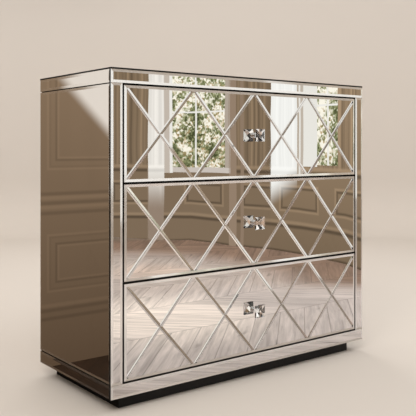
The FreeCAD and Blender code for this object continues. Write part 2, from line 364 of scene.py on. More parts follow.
def crystalMaterial():
    material, place = newMaterial("cut crystal")
    marks = useGroup(handMarks, {"Scale": 40.0, "Amount": 0.03, "Clean": 0.0}, place)
    return finishWith(material, {
        "Base Color": mixColour(marks["Mask"], rgb(0.99, 0.995, 1.0), rgb(0.93, 0.93, 0.92)),
        "Roughness": marks["Roughness"], "Transmission Weight": 1.0, "IOR": 1.54})


def metalMaterial(name, bright, dull, bloomScale, polish, spread, grain=0.00002):
    material, place = newMaterial(name)
    metal = useGroup(sheetMetal, {
        "Bright": bright, "Dull": dull, "Bloom Scale": bloomScale, "Polish": polish, "Spread": spread}, place)
    return finishWith(material, {
        "Base Color": metal["Color"], "Metallic": 1.0, "Roughness": metal["Roughness"],
        "Normal": bump(metal["Height"], 0.4, grain)})


def paintMaterial(name, colour, scuffed, sheen, bare, wear, settled=0.4):
    material, place = newMaterial(name)
    paint = useGroup(paintFilm, {
        "Colour": colour, "Scuffed": scuffed, "Sheen Low": sheen[0], "Sheen High": sheen[1]}, place)
    worn = useGroup(edgeWear, {"Amount": wear}, place)["Mask"]
    lying = dustOn(place, settled)
    rubbed = mixColour(worn, paint["Color"], bare)
    return finishWith(material, {
        "Base Color": mixColour(lying, rubbed, rgb(0.3, 0.27, 0.24)),
        "Roughness": calc("MAXIMUM", paint["Roughness"], lying),
        "Normal": bump(paint["Height"], 0.25, 0.0001), "Specular IOR Level": 0.3})


def boardMaterial(name, light, dark, figure, pores, turn=0.0):
    material, place = newMaterial(name)
    laid = addNode("ShaderNodeMapping", {"Vector": place["Object"], "Rotation": (0.0, 0.0, turn)})["Vector"]
    wood = useGroup(woodGrain, {
        "Vector": laid, "Light": light, "Dark": dark, "Figure": figure, "Pores": pores})
    return finishWith(material, {
        "Base Color": mixColour(dustOn(place, 0.18), wood["Color"], rgb(0.42, 0.38, 0.33)),
        "Roughness": wood["Roughness"], "Normal": bump(wood["Height"], 0.3, 0.00015)})


def hardboardMaterial():
    material, place = newMaterial("hardboard back")
    fibres = noise(stretched(place["Object"], (240.0, 240.0, 420.0)), 1.0, 3.0, 0.7, 0.8)
    patches = noise(place["Object"], 5.0, 4.0, 0.6)
    brown = mixColour(patches, rgb(0.19, 0.105, 0.052), rgb(0.27, 0.165, 0.09))
    flecked = mixColour(ranged(fibres, 0.52, 0.75), brown, rgb(0.38, 0.26, 0.155))
    return finishWith(material, {
        "Base Color": mixColour(dustOn(place, 0.5), flecked, rgb(0.4, 0.36, 0.31)),
        "Roughness": ranged(fibres, 0.3, 0.8, 0.5, 0.72), "Normal": bump(fibres, 0.35, 0.0002)})


frontMirror = mirrorMaterial("front mirror", (0.0, 1.0, 0.0))
latticeMirror = mirrorMaterial("lattice mirror", (0.0, 1.0, 0.0), grooveFace=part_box("top_drawer_mirror")[0].y)
sideMirror = mirrorMaterial("side mirror", (1.0, 0.0, 0.0), seam=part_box("side_mirror_left")[0].y)
topMirror = mirrorMaterial("top mirror", (0.0, 0.0, 1.0))
crystal = crystalMaterial()
chrome = metalMaterial("knob chrome", rgb(0.72, 0.71, 0.7), rgb(0.6, 0.59, 0.57), 90.0, 0.05, 0.1, 0.00001)
screwSteel = metalMaterial("zinc screw", rgb(0.62, 0.61, 0.58), rgb(0.42, 0.4, 0.37), 300.0, 0.22, 0.25)
runnerSteel = metalMaterial("zinc runner", rgb(0.6, 0.6, 0.59), rgb(0.45, 0.45, 0.44), 45.0, 0.22, 0.22)
bearingSteel = metalMaterial("ball cage steel", rgb(0.68, 0.68, 0.67), rgb(0.5, 0.49, 0.47), 120.0, 0.12, 0.2)
plinthPaint = paintMaterial("plinth paint", rgb(0.0055, 0.005, 0.0045), rgb(0.024, 0.021, 0.019), (0.5, 0.72),
                            rgb(0.075, 0.05, 0.032), 0.6, 0.35)
rubbed = {"scuffed": rgb(0.05, 0.042, 0.035), "bare": rgb(0.1, 0.07, 0.045), "wear": 0.4}
carcassPaint = paintMaterial("carcass paint", rgb(0.017, 0.0125, 0.0095), sheen=(0.4, 0.6), **rubbed)
frontPaint = paintMaterial("drawer front paint", rgb(0.015, 0.011, 0.0085), sheen=(0.35, 0.55), **rubbed)
birch = {"light": rgb(0.66, 0.5, 0.33), "dark": rgb(0.52, 0.365, 0.22), "figure": 2.6, "pores": 330.0}
boxBoard = boardMaterial("birch side", **birch, turn=quarterTurn)
boxBoardAcross = boardMaterial("birch back", **birch)
baseSheet = boardMaterial("birch ply", rgb(0.7, 0.56, 0.4), rgb(0.58, 0.43, 0.28), 1.5, 260.0)
hardboard = hardboardMaterial()

nodeFinish = {
    # the nodes that show as they are; pieces made below replace the others
    carcassPaint: [
        "side_panel_left", "side_panel_right", "top_board", "base_board", "face_stile_left",
        "face_stile_right", "face_rail_top", "face_rail_bottom", "divider_rails", "runner_packers"],
    frontMirror: ["top_strip_front", "base_strip_front", "stile_mirror_left", "stile_mirror_right"],
    sideMirror: [
        "top_strip_left", "top_strip_right", "base_strip_left", "base_strip_right", "side_mirror_left",
        "side_mirror_right"],
    topMirror: ["top_mirror"],
    hardboard: ["back_panel"],
    runnerSteel: ["outer_runners"],
    baseSheet: [drawer + "_drawer_base" for drawer in drawerNames],
    bearingSteel: [drawer + "_ball_cages" for drawer in drawerNames],
}
for material, names in nodeFinish.items():
    for name in names:
        for slot in nodes[name].material_slots:
            slot.material = material
print("materials on the frame's nodes")


# making meshes, and putting them on their bodies

def addObject(name, data):
    item = bpy.data.objects.new(name, data)
    bpy.context.scene.collection.objects.link(item)
    return item


def showPiece(name, mesh, body, slot, *replaced):
    piece = addObject(name, mesh)
    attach(piece, body)
    if replaced:
        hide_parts(*replaced)
    return piece


def onDrawer(drawer, name, mesh, slot, *replaced):
    # a piece that slides with a drawer, in place of that drawer's own nodes
    replaced = [drawer + "_" + node for node in replaced]
    return showPiece(drawer + "_" + name, mesh, drawer + "_drawer", slot, *replaced)


def meshFrom(shape, name, material):
    mesh = bpy.data.meshes.new(name)
    shape.to_mesh(mesh)
    shape.free()
    mesh.materials.append(material)
    return mesh


def nodeShape(node):
    # a copy of a node's mesh, with its loose triangles joined
    shape = bmesh.new()
    shape.from_mesh(nodes[node].data)
    bmesh.ops.remove_doubles(shape, verts=shape.verts, dist=weld)
    return shape


def joinRings(shape, rings, steps):
    # faces between each ring of corners and the next; a ring may be one corner
    for near, far in zip(rings, rings[1:]):
        for i in range(steps):
            around = ((near, i), (near, i + 1), (far, i + 1), (far, i))
            corners = dict.fromkeys(ring[turn % len(ring)] for ring, turn in around)
            shape.faces.new(list(corners))


def spun(outline, steps, stand=Matrix()):
    # an outline of radius and height, turned once round Z and stood in its place
    shape = bmesh.new()
    rings = []
    for radius, height in outline:
        turns = [fullTurn * i / steps for i in range(steps if radius else 1)]
        ring = [Vector((radius * math.cos(a), radius * math.sin(a), height)) for a in turns]
        rings.append([shape.verts.new(stand @ corner) for corner in ring])
    joinRings(shape, rings, steps)
    bmesh.ops.recalc_face_normals(shape, faces=shape.faces)
    return shape


def boxOf(node):
    # lower corner, upper corner and middle
    low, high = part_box(node)
    return low, high, (low + high) / 2


def runTree(tree, points, values):
    # runs a geometry tree on some points and gives back the plain result
    places = bpy.data.meshes.new("places")
    places.from_pydata(points, [], [])
    carrier = addObject("carrier", places)
    modifier = carrier.modifiers.new("build", "NODES")
    modifier.node_group = tree
    for item in tree.interface.items_tree:
        if item.in_out == "INPUT" and item.name in values:
            modifier[item.identifier] = values[item.name]
    depsgraph = bpy.context.evaluated_depsgraph_get()
    result = bpy.data.meshes.new_from_object(carrier.evaluated_get(depsgraph), depsgraph=depsgraph)
    carrier.modifiers.remove(modifier)
    bpy.data.objects.remove(carrier)
    finish = next(material for material in result.materials if material)
    result.materials.clear()
    result.materials.append(finish)
    result.polygons.foreach_set("material_index", [0] * len(result.polygons))
    return result


def cube(size):
    return addNode("GeometryNodeMeshCube", {"Size": size})["Mesh"]


def moved(shape, translation=(0, 0, 0), rotation=(0, 0, 0)):
    inputs = {"Geometry": shape, "Translation": translation, "Rotation": rotation}
    return addNode("GeometryNodeTransform", inputs)["Geometry"]


def extruded(shape, selection, rise):
    return addNode("GeometryNodeExtrudeMesh", {"Mesh": shape, "Selection": selection, "Offset Scale": rise})


def setOn(points, shape, **turn):
    return addNode("GeometryNodeInstanceOnPoints", {"Points": points, "Instance": shape, **turn})["Instances"]


def realized(shape):
    return addNode("GeometryNodeRealizeInstances", {"Geometry": shape})["Geometry"]


def boolean(operation, inputs):
    return addNode("GeometryNodeMeshBoolean", inputs, operation=operation, solver="EXACT")["Mesh"]


def endShape(shape, material):
    facets = addNode("GeometryNodeSetShadeSmooth", {"Geometry": realized(shape), "Shade Smooth": False})
    finished = addNode("GeometryNodeSetMaterial", {"Geometry": facets["Geometry"], "Material": material})
    return endTree({"Geometry": finished["Geometry"]})


# drawer mirrors: a bevelled sheet with V grooves crossing from corner to corner

latticeGlass = {
    "Thickness": 0.005,
    "Bevel Width": 0.0065,
    "Bevel Drop": 0.001,
    "Cells": 4,
    "Groove Width": 0.010,
    "Groove Depth": 0.0017,
    "Groove Round": 0.0022,
    "Hole Radius": 0.0025,
}
latticeInset = 0.0009        # the sheets stop this far inside the edges of their boards


def makeLatticeTree():
    given = shapeTree("latticeGlass", {
        "Width": 0.8, "Height": 0.2, **latticeGlass, "Place": "Vector", "Glass": "Material"})
    width, height, thick = given["Width"], given["Height"], given["Thickness"]
    drop, grooveWidth, depth = given["Bevel Drop"], given["Groove Width"], given["Groove Depth"]

    # sheet, back on y = 0, face towards -Y, its front ring drawn in to make the bevel
    body = thick - drop
    sheet = moved(cube(combined(width, body, height)), combined(0.0, body * -0.5, 0.0))
    facing = separated(addNode("GeometryNodeInputNormal")["Normal"])["Y"]
    raised = extruded(sheet, calc("LESS_THAN", facing, -0.5), drop)
    flatWidth = given["Bevel Width"] * -2.0 + width
    flatHeight = given["Bevel Width"] * -2.0 + height
    position = addNode("GeometryNodeInputPosition")["Position"]
    narrowed = vectorCalc("MULTIPLY", position, combined(flatWidth / width, 1.0, flatHeight / height))
    sheet = addNode("GeometryNodeSetPosition", {
        "Geometry": raised["Mesh"], "Selection": raised["Top"], "Position": narrowed})["Geometry"]

    # one V cutter along Z, with a slightly rounded bottom
    corners = ((-grooveWidth, -depth), (0.0, depth), (grooveWidth, -depth), (0.0, depth * -1.5))
    points = {f"Point {i}": combined(x, y, 0.0) for i, (x, y) in enumerate(corners, 1)}
    section = addNode("GeometryNodeCurvePrimitiveQuadrilateral", points, mode="POINTS")
    atBottom = calc("COMPARE", addNode("GeometryNodeInputIndex")["Index"], 1.0, 0.1)
    eased = addNode("GeometryNodeFilletCurve", {
        "Curve": section["Curve"], "Count": 3, "Radius": atBottom * given["Groove Round"]}, mode="POLY")
    reach = (height + width) * 0.5
    line = addNode("GeometryNodeCurvePrimitiveLine", {
        "Start": combined(0.0, 0.0, -reach), "End": combined(0.0, 0.0, reach)})
    cutter = addNode("GeometryNodeCurveToMesh", {
        "Curve": line["Curve"], "Profile Curve": eased["Curve"], "Fill Caps": True})["Mesh"]

    # leaned both ways across a cell, and repeated along the sheet
    cell = width / given["Cells"]
    lean = calc("ARCTAN2", cell, height)
    places = addNode("GeometryNodeMeshLine", {
        "Count": given["Cells"], "Start Location": combined((cell - width) * 0.5, 0.0, 0.0),
        "Offset": combined(cell, 0.0, 0.0)})["Mesh"]
    crosses = [setOn(places, moved(cutter, rotation=combined(0.0, way, 0.0))) for way in (lean, -lean)]
    bars = realized(addNode("GeometryNodeJoinGeometry", {0: crosses})["Geometry"])
    bars = moved(bars, combined(0.0, -thick, 0.0))

    # the grooves stop where the bevel starts
    through = thick * 4.0
    field = cube(combined(flatWidth, through, flatHeight))
    grooves = boolean("INTERSECT", {"Self Intersection": True, "Mesh 2": [bars, field]})
    drill = addNode("GeometryNodeMeshCylinder", {
        "Vertices": 32, "Radius": given["Hole Radius"], "Depth": through})["Mesh"]
    hole = moved(drill, rotation=(quarterTurn, 0.0, 0.0))
    cut = boolean("DIFFERENCE", {"Mesh 1": sheet, "Mesh 2": [grooves, hole]})
    return endShape(moved(cut, given["Place"]), given["Glass"])


latticeTree = makeLatticeTree()
for drawer in drawerNames:
    low, high, middle = boxOf(drawer + "_drawer_mirror")
    size = high - low
    mesh = runTree(latticeTree, [], {
        **latticeGlass, "Width": size.x - 2 * latticeInset, "Height": size.z - 2 * latticeInset,
        "Place": (middle.x, high.y, middle.z), "Glass": latticeMirror})
    onDrawer(drawer, "lattice_mirror", mesh, "mirror_glass", "drawer_mirror")
print("lattice mirrors cut")


# knobs: a square cut crystal on a turned metal base

crystalCut = {
    # millimetres: distance from the seat, half width and corner cut
    "rings": [(0.0, 4.6, 0.5), (14.2, 17.0, 0.7), (17.0, 17.0, 0.7), (18.2, 15.4, 0.7), (20.9, 1.2, 0.1)],
    "flatness": math.radians(0.5),
}
baseTurning = {
    # millimetres: radius and distance from the mirror
    "profile": [(0.0, 0.0), (7.0, 0.0), (7.0, 0.9), (6.8, 1.25), (6.4, 1.4), (5.6, 1.7), (4.9, 2.3),
                (4.5, 3.0), (4.4, 4.2), (4.5, 5.4), (5.1, 6.2), (6.2, 6.75), (7.0, 6.95), (7.4, 7.3),
                (7.4, 7.9), (7.15, 8.2), (0.0, 8.2)],
    "steps": 56,
    "creaseAngle": math.radians(38),
}


def crystalRing(shape, seatY, centreZ, out, half, corner):
    ring = []
    for side in range(4):
        turn = Matrix.Rotation(quarterTurn * side, 3, "Y")
        for along in (corner - half, 0.0, half - corner):
            place = turn @ Vector((along, 0.0, half)) * mm
            ring.append(shape.verts.new((place.x, seatY - out * mm, centreZ + place.z)))
    return ring


def makeCrystal(drawer, seatY, centreZ):
    shape = bmesh.new()
    rings = [crystalRing(shape, seatY, centreZ, *row) for row in crystalCut["rings"]]
    joinRings(shape, rings, len(rings[0]))
    shape.faces.new(rings[0])
    shape.faces.new(rings[-1])
    bmesh.ops.recalc_face_normals(shape, faces=shape.faces)
    bmesh.ops.triangulate(shape, faces=[f for f in shape.faces if len(f.verts) == 4], quad_method="FIXED")
    bmesh.ops.dissolve_limit(shape, angle_limit=crystalCut["flatness"], verts=shape.verts, edges=shape.edges)
    onDrawer(drawer, "cut_crystal", meshFrom(shape, "cut crystal", crystal), "knob_crystal", "knob_crystal")


def makeTurnedBase(drawer, mirrorY, centreZ):
    outline = [(radius * mm, out * mm) for radius, out in baseTurning["profile"]]
    stand = Matrix.Translation((0.0, mirrorY, centreZ)) @ Matrix.Rotation(quarterTurn, 4, "X")
    mesh = meshFrom(spun(outline, baseTurning["steps"], stand), "turned base", chrome)
    mesh.shade_smooth()
    mesh.set_sharp_from_angle(angle=baseTurning["creaseAngle"])
    onDrawer(drawer, "turned_base", mesh, "knob_chrome", "knob_base")


for drawer in drawerNames:
    low, high, middle = boxOf(drawer + "_knob_base")
    makeTurnedBase(drawer, high.y, middle.z)
    makeCrystal(drawer, low.y, middle.z)
print("knobs cut and turned")


# screws: one tree sets a cross-headed screw on every point it is given

backScrews = {
    "Shank Radius": 0.00175, "Length": 0.0258, "Head Radius": 0.0036, "Sink": 0.0019, "Rim": 0.0003,
    "Dome": 0.0003, "Recess Width": 0.0008, "Recess Depth": 0.0014, "Axis": (0.0, 1.0, 0.0), "Turn Seed": 7}
knobScrews = {
    "Shank Radius": 0.002, "Length": 0.0245, "Head Radius": 0.0044, "Sink": 0.0002, "Rim": 0.0012,
    "Dome": 0.0012, "Recess Width": 0.001, "Recess Depth": 0.0015, "Axis": (0.0, 1.0, 0.0), "Turn Seed": 3}
runnerScrews = {
    "Shank Radius": 0.0014, "Length": 0.0105, "Head Radius": 0.0032, "Sink": 0.0002, "Rim": 0.0008,
    "Dome": 0.0009, "Recess Width": 0.0008, "Recess Depth": 0.0011, "Axis": (1.0, 0.0, 0.0), "Turn Seed": 11}
domeRings = ((0.45, 0.93), (0.35, 0.8), (0.2, 0.62))    # share of the dome's height, and how far it draws in
recessSpan = 1.15                             # length of the cross against the head's radius
runnerScrewPlaces = (0.032, 0.16, 0.304)      # from the runner's front end
runnerWeb = 0.0012                            # where those screws bear, out from the drawer's side


def makeScrewTree():
    given = shapeTree("crossScrew", {**backScrews, "Steel": "Material"})
    head, shank, length = given["Head Radius"], given["Shank Radius"], given["Length"]
    sink, rim, dome = given["Sink"], given["Rim"], given["Dome"]

    # the screw stands on Z, its shank below z = 0 and its head above the sink
    rod = addNode("GeometryNodeMeshCylinder", {"Vertices": 24, "Radius": shank, "Depth": length})
    shape, top = moved(rod["Mesh"], combined(0.0, 0.0, length * -0.5)), rod["Top"]
    rounding = [(dome * share, scale) for share, scale in domeRings]
    for rise, scale in [(sink, head / shank), (rim, 1.0), *rounding]:
        lifted = extruded(shape, top, rise)
        top = lifted["Top"]
        shape = addNode("GeometryNodeScaleElements", {
            "Geometry": lifted["Mesh"], "Selection": top, "Scale": scale})["Geometry"]
    headTop = sink + rim + dome
    across, narrow, deep = head * recessSpan, given["Recess Width"], given["Recess Depth"] * 2.0
    recess = [moved(cube(combined(x, y, deep)), combined(0.0, 0.0, headTop))
              for x, y in ((across, narrow), (narrow, across))]
    screw = boolean("DIFFERENCE", {"Mesh 1": shape, "Mesh 2": recess})

    # screws on the left point left, and each is turned by its own angle
    side = calc("SIGN", separated(addNode("GeometryNodeInputPosition")["Position"])["X"])
    axis = vectorCalc("MULTIPLY", given["Axis"], combined(side, 1.0, 1.0))
    stand = addNode("FunctionNodeAlignRotationToVector", {"Vector": axis}, axis="Z")["Rotation"]
    angle = addNode("FunctionNodeRandomValue", {3: quarterTurn, "Seed": given["Turn Seed"]})[1]
    twist = addNode("FunctionNodeEulerToRotation", {"Euler": combined(0.0, 0.0, angle)})["Rotation"]
    turned = addNode("FunctionNodeRotateRotation", {
        "Rotation": stand, "Rotate By": twist}, rotation_space="LOCAL")["Rotation"]
    return endShape(setOn(given["Geometry"], screw, Rotation=turned), given["Steel"])


def islandCentres(node):
    # middle of each separate solid in a node's mesh
    shape = nodeShape(node)
    waiting, centres = set(shape.verts), []
    while waiting:
        edge, island = [waiting.pop()], []
        while edge:
            vert = edge.pop()
            island.append(vert.co.copy())
            for link in vert.link_edges:
                other = link.other_vert(vert)
                if other in waiting:
                    waiting.discard(other)
                    edge.append(other)
        centres.append((Vector(map(min, *island)) + Vector(map(max, *island))) / 2)
    shape.free()
    return sorted(centres, key=lambda place: (round(place.x, 4), round(place.z, 4)))


def setScrews(sizes, places):
    return runTree(screwTree, places, {**sizes, "Steel": screwSteel})


screwTree = makeScrewTree()
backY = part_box("back_panel")[1].y
headY = backY - backScrews["Sink"] - backScrews["Rim"]
mesh = setScrews(backScrews, [(place.x, headY, place.z) for place in islandCentres("back_panel_screws")])
showPiece("back_board_screws", mesh, "carcass", "screw_steel", "back_panel_screws")
for drawer in drawerNames:
    low, high, middle = boxOf(drawer + "_knob_screw")
    headY = high.y - (knobScrews["Sink"] + knobScrews["Rim"] + knobScrews["Dome"])
    mesh = setScrews(knobScrews, [(0.0, headY, middle.z)])
    onDrawer(drawer, "knob_fixing", mesh, "screw_steel", "knob_screw")
    low, high, middle = boxOf(drawer + "_inner_runners")
    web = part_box(drawer + "_drawer_side_right")[1].x + runnerWeb
    places = [(side, low.y + along, middle.z) for side in (-web, web) for along in runnerScrewPlaces]
    onDrawer(drawer, "runner_screws", setScrews(runnerScrews, places), "screw_steel")
print("screws set")


# boards and runners with eased edges

easing = {
    # width of the rounding in metres, and its steps
    "plinth": (0.0012, 2),
    "box": (0.0018, 3),
    "front": (0.0008, 2),
    "runner": (0.0005, 2),
}
easedAngle = math.radians(50)       # edges that turn more than this are rounded
flatAngle = math.radians(1)         # faces that turn less than this are joined first
easedBoards = {
    # new name: the node that it stands for, its slot, its finish and the kind of rounding
    "front_board": ("drawer_front", "front_paint", frontPaint, "front"),
    "left_side_board": ("drawer_side_left", "box_board", boxBoard, "box"),
    "right_side_board": ("drawer_side_right", "box_board", boxBoard, "box"),
    "back_board": ("drawer_back", "box_board", boxBoardAcross, "box"),
    "sliding_members": ("inner_runners", "runner_steel", runnerSteel, "runner"),
}


def easeNode(name, body, node, slot, material, kind):
    shape = nodeShape(node)
    bmesh.ops.dissolve_limit(shape, angle_limit=flatAngle, verts=shape.verts, edges=shape.edges)
    mesh = meshFrom(shape, name, material)
    mesh.shade_flat()
    piece = showPiece(name, mesh, body, slot, node)
    modifier = piece.modifiers.new("eased edges", "BEVEL")
    modifier.width, modifier.segments = easing[kind]
    modifier.limit_method = "ANGLE"
    modifier.angle_limit = easedAngle


for name, node in (("front_board", "front"), ("back_board", "back"), ("end_boards", "ends")):
    easeNode("plinth_" + name, "carcass", "plinth_" + node, "plinth_paint", plinthPaint, "plinth")
for drawer in drawerNames:
    for name, (node, *finish) in easedBoards.items():
        easeNode(drawer + "_" + name, drawer + "_drawer", drawer + "_" + node, *finish)
print("edges eased")


# studio: floor and wall, a room of cards that only mirrors and crystal see, and the lamps

studio = {
    "floorRadius": 3.1,
    "coveRadius": 0.4,
    "coveSteps": 8,
    "wallHeight": 2.5,
    "turnSteps": 96,
    "floorColour": rgb(0.66, 0.6, 0.54),
    "wallColour": rgb(0.66, 0.61, 0.56),
    "skyColour": rgb(0.98, 0.975, 0.96),
    "skyStrength": 0.7,
    "crystalSky": 0.03,
}
mirroredRoom = {
    # the same floor and wall as mirrors show them, with painted sunlight and shadow on the floor
    "floor": rgb(0.5, 0.43, 0.395),
    "floorPatches": [
        # colour, middle, and how far from it the patch is full and gone
        (rgb(0.25, 0.163, 0.116), (0.2, -1.7, 0.0), (1.3, 0.77)),
        # painted light: a brighter, cooler patch on the floor near the chest
        (rgb(0.54, 0.478, 0.455), (0.5, -0.3, 0.0), (0.75, 1.1)),
        # painted sunlight: a pool of light on the floor
        (rgb(0.83, 0.74, 0.675), (0.19, -0.93, 0.0), (0.14, 0.54)),
        # painted sunlight: a smaller pool farther out
        (rgb(0.62, 0.5, 0.43), (0.72, -1.78, 0.0), (0.05, 0.35)),
        # painted shadow: the floor in shade left of the chest
        (rgb(0.026, 0.011, 0.003), (-0.75, 0.05, 0.0), (0.35, 0.55)),
    ],
    # painted shade: the mirrored wall is dark below the turn, lighter above it
    "shadedLowWall": rgb(0.21, 0.165, 0.125),
    "highWall": rgb(0.6, 0.55, 0.5),
    "wallTurn": (1.25, 1.5),
    # what cut crystal shows: a floor lit on the right, a warm wall and darkness above it
    "crystalFloor": rgb(1.0, 0.98, 0.95),
    "crystalShade": rgb(0.035, 0.032, 0.025),
    "crystalSunny": (0.2, 0.5),
    "crystalWall": rgb(0.62, 0.46, 0.36),
    "crystalDark": rgb(0.02, 0.017, 0.015),
    "crystalFloorReach": (1.6, 2.6),
    "crystalWallTop": (0.4, 0.6),
}
chevrons = {
    "Strip": 0.357, "Pitch": 0.1275, "Start": 0.363, "Joint": 0.03, "Boards": 0.22, "Grain": 0.25,
    "Knots": 0.3}


def makeParquet():
    # boards laid in chevrons, in strips along X
    given = shaderGroup("parquet", {"Vector": "Vector", **chevrons}, {"Tone": "Float"})
    place = separated(given["Vector"])
    across = place["Y"] + given["Start"]
    zigzag = calc("PINGPONG", across, given["Strip"])
    run = (place["X"] - zigzag) / given["Pitch"]
    side = abs(calc("FRACT", run) - 0.5)
    end = abs(zigzag / given["Strip"] - 0.5)
    endJoint = ranged(end, given["Joint"] * -0.35 + 0.5, 0.5)
    joint = calc("MAXIMUM", ranged(side, 0.5 - given["Joint"], 0.5), endJoint)
    board = combined(calc("FLOOR", run), calc("FLOOR", across / given["Strip"]), 0.0)
    shade = addNode("ShaderNodeTexWhiteNoise", {"Vector": board})["Value"]
    grain = noise(combined(zigzag * 5.0, run * 5.0, shade * 40.0), 1.0, 4.0, 0.65, 0.4)
    knots = noise(combined(zigzag * 9.0, run * 2.2, shade * 40.0), 1.0, 1.0, 0.5)
    tone = (shade - 0.5) * given["Boards"] + 1.0
    tone = ranged(grain, 0.3, 0.7, -1.0, 1.0) * given["Grain"] + tone
    tone = tone - ranged(knots, 0.69, 0.78) * given["Knots"]
    return endTree({"Tone": tone * (joint * -0.5 + 1.0)})


parquet = makeParquet()


def paperMaterial():
    # plain paper to the camera, a parquet and a wall to mirrors, and a dark room to crystal; the mirrored floor
    # carries painted sunlight and shadow, and the mirrored wall painted shade low down
    material, place = newMaterial("studio paper")
    room = mirroredRoom
    height = separated(place["Object"])["Z"]
    spot = vectorCalc("MULTIPLY", place["Object"], (1.0, 1.0, 0.0))
    away = vectorCalc("LENGTH", spot)
    plain = mixColour(ranged(height, 0.0, 0.5, smooth=True), studio["floorColour"], studio["wallColour"])
    floor = room["floor"]
    # the patches paint sunlight and shadow onto the floor that mirrors show
    for colour, middle, (full, gone) in room["floorPatches"]:
        off = vectorCalc("LENGTH", vectorCalc("SUBTRACT", spot, middle))
        floor = mixColour(ranged(off, gone, full, smooth=True), floor, colour)
    floor = scaled(floor, useGroup(parquet, {"Vector": spot})["Tone"])
    # painted shade on the lower part of the mirrored wall
    wall = mixColour(ranged(height, *room["wallTurn"], smooth=True), room["shadedLowWall"], room["highWall"])
    mirrored = mixColour(ranged(away, studio["floorRadius"], studio["floorRadius"] + 0.1), floor, wall)
    sunny = ranged(separated(spot)["X"], *room["crystalSunny"])
    refracted = mixColour(sunny, room["crystalShade"], room["crystalFloor"])
    refracted = mixColour(ranged(away, *room["crystalFloorReach"]), refracted, room["crystalWall"])
    refracted = mixColour(ranged(height, *room["crystalWallTop"]), refracted, room["crystalDark"])
    rays = addNode("ShaderNodeLightPath")
    seen = mixColour(rays["Is Glossy Ray"], plain, mirrored)
    return finishWith(material, {
        "Base Color": mixColour(rays["Is Transmission Ray"], seen, refracted), "Roughness": 0.75,
        "Normal": bump(noise(place["Object"], 160.0, 2.0), 0.08, 0.0005)})


def makeStudioShell():
    radius, cove = studio["floorRadius"], studio["coveRadius"]
    bends = [quarterTurn * i / studio["coveSteps"] for i in range(studio["coveSteps"] + 1)]
    rounded = [(radius + cove * math.sin(a), cove * (1 - math.cos(a))) for a in bends]
    outline = [(0.0, 0.0), *rounded, (radius + cove, studio["wallHeight"])]
    shell = spun(outline, studio["turnSteps"])
    bmesh.ops.reverse_faces(shell, faces=shell.faces)
    mesh = meshFrom(shell, "studio shell", paperMaterial())
    mesh.shade_smooth()
    addObject("studio_shell", mesh)


frontRelief = {
    # heights in metres of the mouldings that the mirrored walls carry, drawn flat as painted highlight and
    # shade lines
    "litLedges": (0.178, 0.505),
    "shadedLedges": (0.0, 0.158, 0.478),
    "ledgeWidth": 0.016,
    "panels": [(0.325, 0.075)],                 # middle and half height
    "panelHalfWidth": 0.17,
    "panelSpacing": 0.5,
    "frames": [(0.0, 1.0), (0.016, -1.2)],      # how far inside the panel's edge, and how strong its painted highlight (above 0) or shade (below 0)
    "flutes": 30.0,
    "fluteShading": 1.6,
}
sideRelief = {
    "litLedges": (0.487, 0.46, 0.176),
    "shadedLedges": (0.499, 0.472, 0.443, 0.162, 0.138),
    "ledgeWidth": 0.008,
    "panels": [(0.298, 0.055), (0.87, 0.273)],
    "panelHalfWidth": 0.436,
    "panelSpacing": 1.0,
    "frames": [(0.0, -1.3), (0.006, 0.8), (-0.026, 0.9), (-0.02, -0.5)],
    "flutes": 6.0,
    "fluteShading": 0.3,
}
gardenColours = {
    "Shade": rgb(0.075, 0.085, 0.035), "Leaf": rgb(0.36, 0.39, 0.19), "Autumn": rgb(0.62, 0.45, 0.23),
    "Sky": rgb(1.12, 1.08, 0.95), "Bar": rgb(0.98, 0.97, 0.93)}


def makeWainscot(name, relief):
    # painted wall with a skirting, raised panels, a dado rail and fluted boards above it, drawn flat: mouldings
    # and flutes as painted highlight and shade lines, the colour darker towards the bottom
    given = shaderGroup(name, {
        "Along": "Float", "Up": "Float", "Low": "Color", "High": "Color", "Relief Shading": 0.3}, {"Color": "Color"})
    along, up = given["Along"], given["Up"]
    width, spacing, fluteShading = relief["ledgeWidth"], relief["panelSpacing"], relief["fluteShading"]
    # painted highlight and shade of the mouldings, summed as light and dark lines
    height = 0.0
    for levels, way in ((relief["litLedges"], 1.0), (relief["shadedLedges"], -1.3)):
        for level in levels:
            height += ranged(abs(up - level), width, width * 0.25) * way
    sideways = abs(calc("FRACT", along / spacing) - 0.5) * spacing - relief["panelHalfWidth"]
    for middle, halfHeight in relief["panels"]:
        toFrame = calc("MAXIMUM", sideways, abs(up - middle) - halfHeight)
        for shift, way in relief["frames"]:
            height += ranged(abs(toFrame + shift), width * 0.7, 0.001) * way
    flutes = noise(combined(along * relief["flutes"], 0.0, 0.0), 1.0, 2.0, 0.6)
    height += ranged(flutes, 0.3, 0.7, -fluteShading, fluteShading) * ranged(up, 0.5, 0.53)
    tone = mixColour(ranged(up, 0.0, 0.8), given["Low"], given["High"])
    return endTree({"Color": scaled(tone, height * given["Relief Shading"] + 1.0)})


